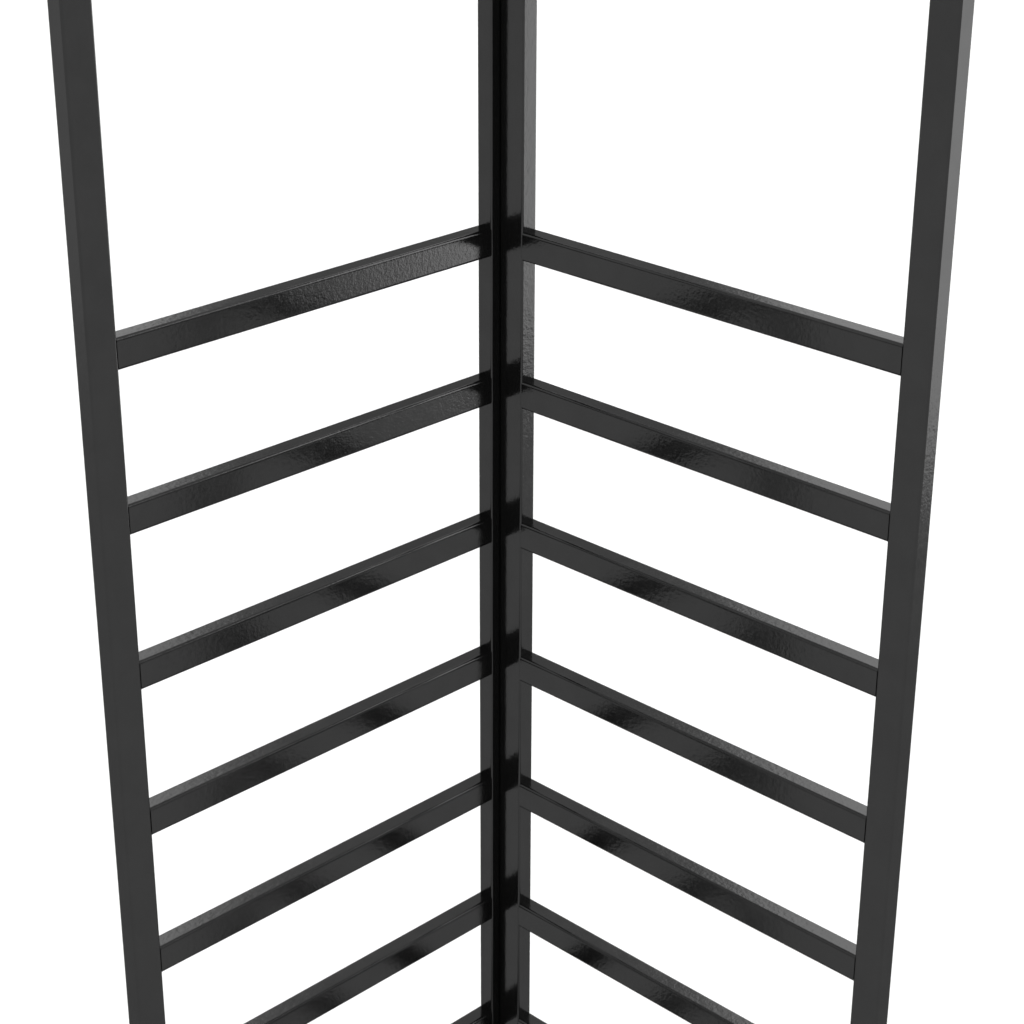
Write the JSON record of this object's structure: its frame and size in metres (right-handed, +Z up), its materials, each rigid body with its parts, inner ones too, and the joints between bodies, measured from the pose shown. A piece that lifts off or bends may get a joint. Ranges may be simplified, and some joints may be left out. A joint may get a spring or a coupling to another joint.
{
  "type": "firewood log rack",
  "caption": "Tall L-shaped indoor log rack of black powder coated steel tube: two welded ladder panels bolted at the corner, on a slatted base frame.",
  "frame": {"origin": "on the floor, under the middle of the rack's outer box, bolt heads included", "axes": "+Z up; the side panel stands at -X, the back panel at +Y, and the rack is open towards +X and -Y"},
  "size_m": [0.3732, 0.3596, 1.13],
  "materials": {
    "powder_coat": "glossy black powder coat with a fine orange peel",
    "black_plastic": "satin moulded black plastic",
    "black_bolt_steel": "black oxide, slightly worn"
  },
  "bodies": {
    "root": {"side_front_post": "powder_coat", "side_corner_post": "powder_coat", "side_rung_1": "powder_coat", "side_rung_2": "powder_coat", "side_rung_3": "powder_coat", "side_rung_4": "powder_coat", "side_rung_5": "powder_coat", "side_rung_6": "powder_coat", "side_rung_7": "powder_coat", "side_rung_8": "powder_coat", "side_top_rail": "powder_coat", "side_front_cap": "black_plastic", "side_front_glide": "black_plastic", "side_corner_cap": "black_plastic", "side_corner_glide": "black_plastic", "back_corner_post": "powder_coat", "back_right_post": "powder_coat", "back_rung_1": "powder_coat", "back_rung_2": "powder_coat", "back_rung_3": "powder_coat", "back_rung_4": "powder_coat", "back_rung_5": "powder_coat", "back_rung_6": "powder_coat", "back_rung_7": "powder_coat", "back_rung_8": "powder_coat", "back_top_rail": "powder_coat", "back_corner_cap": "black_plastic", "back_corner_glide": "black_plastic", "back_right_cap": "black_plastic", "back_right_glide": "black_plastic", "base_front_rail": "powder_coat", "base_right_rail": "powder_coat", "base_back_rail": "powder_coat", "base_left_rail": "powder_coat", "base_slat_1": "powder_coat", "base_slat_2": "powder_coat", "base_slat_3": "powder_coat", "base_foot": "powder_coat", "base_foot_cap": "black_plastic", "base_foot_glide": "black_plastic", "corner_bolt_1": "black_bolt_steel", "corner_nut_1": "black_bolt_steel", "corner_bolt_2": "black_bolt_steel", "corner_nut_2": "black_bolt_steel", "corner_bolt_3": "black_bolt_steel", "corner_nut_3": "black_bolt_steel", "base_bolt_1": "black_bolt_steel", "base_nut_1": "black_bolt_steel", "base_bolt_2": "black_bolt_steel", "base_nut_2": "black_bolt_steel", "base_bolt_3": "black_bolt_steel", "base_nut_3": "black_bolt_steel"}
  },
  "joints": []
}
